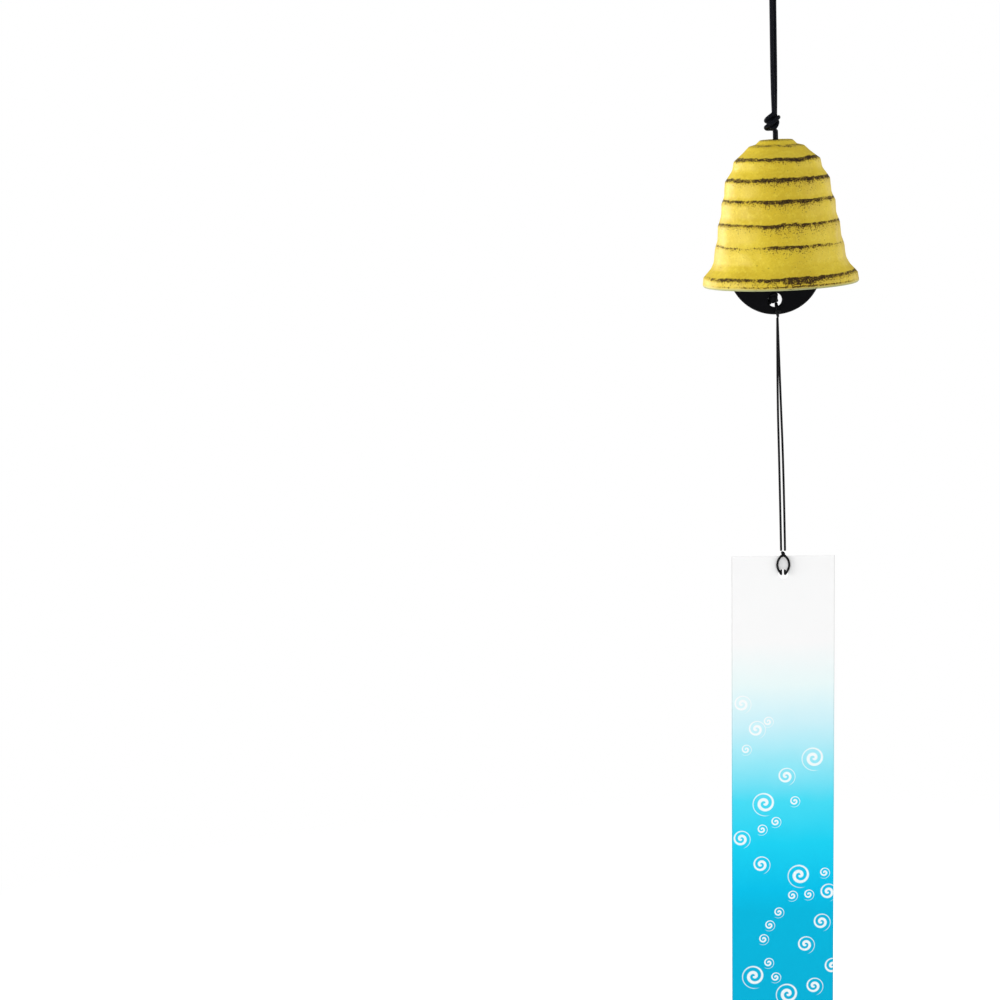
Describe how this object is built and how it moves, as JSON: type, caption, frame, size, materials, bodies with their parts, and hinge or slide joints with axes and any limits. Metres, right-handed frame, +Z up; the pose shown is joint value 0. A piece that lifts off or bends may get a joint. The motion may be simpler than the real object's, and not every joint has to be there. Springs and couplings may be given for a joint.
{
  "type": "wind bell",
  "caption": "Stepped cast-iron wind bell on a doubled cord loop, with a round plate clapper inside and a printed paper strip hanging below on thin cord.",
  "frame": {"origin": "the hang point, where a hook bears inside the top of the cord's loop, on the plumb line through the cord", "axes": "+Z up along the cord, +X to the right as seen from the front, -Y towards the front, where the strip's printed face and the clapper's face look"},
  "size_m": [0.0755, 0.0756, 0.5343],
  "materials": {
    "painted_iron": "matt yellow paint over sand-cast iron, worn through to dark brown along the ridges and the rim",
    "black_iron": "semi-gloss black paint",
    "black_cord": "braided matt cord",
    "black_thread": "thin twisted cord",
    "printed_paper": "stiff paper, white fading to blue, with a whirl pattern"
  },
  "bodies": {
    "loop": {"hanging_loop": "black_cord"},
    "neck": {"crown_knot": "black_cord", "neck_cord": "black_cord"},
    "stopper": {"stopper_knot": "black_cord"},
    "bell": {"bell_shell": "painted_iron"},
    "clapper_cord": {"clapper_cord_left": "black_cord", "clapper_cord_right": "black_cord"},
    "clapper_tie": {"clapper_knot": "black_cord", "clapper_ring": "black_cord"},
    "clapper": {"clapper_plate": "black_iron", "tie_knot": "black_thread"},
    "hitch": {"strip_hitch": "black_thread"},
    "strip_cord": {"strip_cord_left": "black_thread", "strip_cord_right": "black_thread"},
    "strip": {"strip_knot": "black_thread", "strip_eye_left": "black_thread", "strip_eye_right": "black_thread", "paper_strip": "printed_paper"}
  },
  "joints": [
    {"name": "bell_turn", "type": "hinge", "parent": "loop", "child": "neck", "pos_m": [0, 0, -0.0756], "axis": [0, 0, 1], "range_deg": [-120, 120]},
    {"name": "bell_tip", "type": "hinge", "parent": "neck", "child": "stopper", "pos_m": [0, 0, -0.09526], "axis": [1, 0, 0], "range_deg": [-5, 5]},
    {"name": "bell_rock", "type": "hinge", "parent": "stopper", "child": "bell", "pos_m": [0, 0, -0.09526], "axis": [0, 1, 0], "range_deg": [-5.2, 4.6]},
    {"name": "clapper_swing", "type": "hinge", "parent": "bell", "child": "clapper_cord", "pos_m": [0, 0, -0.09526], "axis": [0, 1, 0], "range_deg": [-9.6, 4.2]},
    {"name": "clapper_turn", "type": "hinge", "parent": "clapper_cord", "child": "clapper_tie", "pos_m": [-0.00062, 0, -0.11889], "axis": [0.0262, 0, 0.9997], "range_deg": [-75, 75]},
    {"name": "clapper_nod", "type": "hinge", "parent": "clapper_tie", "child": "clapper", "pos_m": [-0.00087, 0, -0.12861], "axis": [0.9997, 0, -0.0262], "range_deg": [-20, 20]},
    {"name": "strip_cord_swing", "type": "hinge", "parent": "clapper", "child": "hitch", "pos_m": [-0.00067, 0, -0.17033], "axis": [1, 0, 0], "range_deg": [-45, 45]},
    {"name": "strip_turn", "type": "hinge", "parent": "hitch", "child": "strip_cord", "pos_m": [-0.00067, 0, -0.17426], "axis": [0, 0, 1], "range_deg": [-150, 150]},
    {"name": "strip_flap", "type": "hinge", "parent": "strip_cord", "child": "strip", "pos_m": [0, 0, -0.2913], "axis": [1, 0, 0], "range_deg": [-35, 35]}
  ]
}
